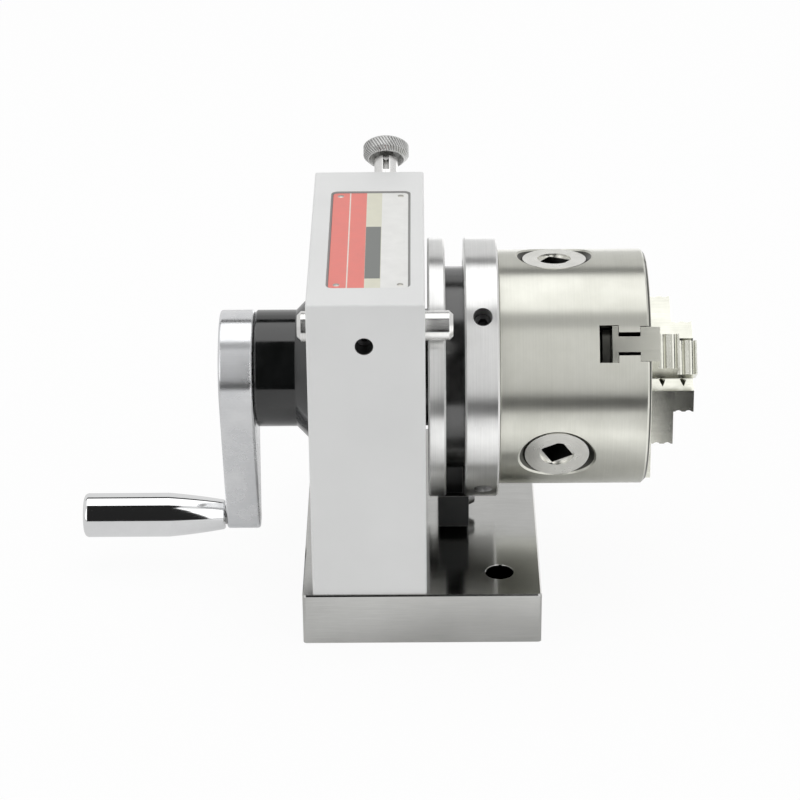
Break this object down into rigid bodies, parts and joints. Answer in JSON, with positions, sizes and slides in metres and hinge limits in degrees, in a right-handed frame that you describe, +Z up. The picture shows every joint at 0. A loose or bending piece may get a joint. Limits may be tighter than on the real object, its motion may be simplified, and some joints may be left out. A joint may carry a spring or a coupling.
{
  "type": "punch former",
  "caption": "Punch former for a grinder: crank-turned spindle with stop ring and index plunger in an upright housing on a base, carrying a three-jaw scroll chuck.",
  "frame": {"origin": "centre of the base's width on its bottom face, straight below the spindle axis", "axes": "+X along the spindle towards the chuck, +Z up, the operator's side is -Y"},
  "size_m": [0.2117, 0.1311, 0.1343],
  "materials": {
    "ground_steel": "ground, dark mirror-like top",
    "column_paint": "light grey satin paint",
    "screw_steel": "dark steel",
    "plate_print": "printed aluminium, bare of words",
    "rivet_steel": "bright",
    "bush_bronze": "machined bronze",
    "black_cap": "satin black",
    "sleeve_steel": "polished",
    "spring_steel": "plain",
    "spindle_steel": "ground",
    "disc_steel": "turned and polished",
    "black_screws": "black oxide",
    "chuck_steel": "ground, slightly warm",
    "crank_chrome": "satin chrome",
    "grip_chrome": "bright chrome",
    "black_oxide": "black oxide",
    "pin_steel": "ground",
    "knob_steel": "knurled",
    "scroll_steel": "machined",
    "pinion_steel": "dark machined",
    "jaw_steel": "hardened and ground"
  },
  "bodies": {
    "frame": {"base_plate": "ground_steel", "column": "column_paint", "column_screws": "screw_steel", "dowel_pins": "screw_steel", "name_plate": "plate_print", "plate_rivets": "rivet_steel", "rear_bush": "bush_bronze", "front_bush": "bush_bronze", "bearing_cap": "black_cap", "lock_screw": "screw_steel", "plunger_sleeve": "sleeve_steel", "plunger_spring": "spring_steel"},
    "spindle": {"spindle": "spindle_steel", "wheel_key": "screw_steel", "index_wheel": "spindle_steel", "stop_ring": "disc_steel", "ring_screws": "screw_steel", "adapter_plate": "disc_steel", "centring_screws": "black_screws", "chuck_screws": "screw_steel", "chuck_body": "chuck_steel", "chuck_cover": "chuck_steel", "pinion_pins": "screw_steel", "crank_arm": "crank_chrome", "crank_key": "screw_steel", "crank_screw": "screw_steel", "grip_stud": "grip_chrome"},
    "grip": {"crank_grip": "grip_chrome"},
    "dog": {"stop_dog": "black_oxide", "dog_screw": "screw_steel"},
    "stop_rod": {"stop_pin": "pin_steel"},
    "plunger": {"index_plunger": "pin_steel", "cross_pin": "pin_steel", "plunger_knob": "knob_steel"},
    "scroll": {"scroll_plate": "scroll_steel"},
    "pinion_1": {"pinion_1": "pinion_steel"},
    "jaw_1": {"jaw_1": "jaw_steel"},
    "pinion_2": {"pinion_2": "pinion_steel"},
    "jaw_2": {"jaw_2": "jaw_steel"},
    "pinion_3": {"pinion_3": "pinion_steel"},
    "jaw_3": {"jaw_3": "jaw_steel"}
  },
  "joints": [
    {"name": "spindle_turn", "type": "hinge", "parent": "frame", "child": "spindle", "pos_m": [0, 0, 0.075], "axis": [1, 0, 0], "range_deg": [-90, 180]},
    {"name": "grip_turn", "type": "hinge", "parent": "spindle", "child": "grip", "pos_m": [-0.094, 0, 0.0177], "axis": [1, 0, 0], "continuous": true},
    {"name": "dog_shift", "type": "hinge", "parent": "spindle", "child": "dog", "pos_m": [0.0115, 0, 0.075], "axis": [1, 0, 0], "range_deg": [-15, 15]},
    {"name": "stop_rod_slide", "type": "slide", "parent": "frame", "child": "stop_rod", "axis": [-1, 0, 0], "range_m": [0, 0.009]},
    {"name": "plunger_slide", "type": "slide", "parent": "frame", "child": "plunger", "axis": [0, -0.7934, -0.6088], "range_m": [0, 0.0035]},
    {"name": "scroll_turn", "type": "hinge", "parent": "spindle", "child": "scroll", "pos_m": [0.057, 0, 0.075], "axis": [-1, 0, 0], "range_deg": [-180, 720]},
    {"name": "pinion_turn_1", "type": "hinge", "parent": "spindle", "child": "pinion_1", "pos_m": [0.0453, 0, 0.075], "axis": [0, 0.1184, 0.993], "range_deg": [-720, 2880]},
    {"name": "pinion_turn_2", "type": "hinge", "parent": "spindle", "child": "pinion_2", "pos_m": [0.0453, 0, 0.075], "axis": [0, 0.8007, -0.599], "range_deg": [-720, 2880]},
    {"name": "pinion_turn_3", "type": "hinge", "parent": "spindle", "child": "pinion_3", "pos_m": [0.0453, 0, 0.075], "axis": [0, -0.9191, -0.3939], "range_deg": [-720, 2880]},
    {"name": "jaw_slide_1", "type": "slide", "parent": "spindle", "child": "jaw_1", "axis": [0, -0.8007, 0.599], "range_m": [-0.0025, 0.01]},
    {"name": "jaw_slide_2", "type": "slide", "parent": "spindle", "child": "jaw_2", "axis": [0, 0.9191, 0.3939], "range_m": [-0.0025, 0.01]},
    {"name": "jaw_slide_3", "type": "slide", "parent": "spindle", "child": "jaw_3", "axis": [0, -0.1184, -0.993], "range_m": [-0.0025, 0.01]}
  ],
  "couplings": [
    {"joint": "pinion_turn_1", "follows": "scroll_turn", "ratio": 4},
    {"joint": "pinion_turn_2", "follows": "scroll_turn", "ratio": 4},
    {"joint": "pinion_turn_3", "follows": "scroll_turn", "ratio": 4},
    {"joint": "jaw_slide_1", "follows": "scroll_turn", "m_per_rad": 0.00079577},
    {"joint": "jaw_slide_2", "follows": "scroll_turn", "m_per_rad": 0.00079577},
    {"joint": "jaw_slide_3", "follows": "scroll_turn", "m_per_rad": 0.00079577}
  ]
}
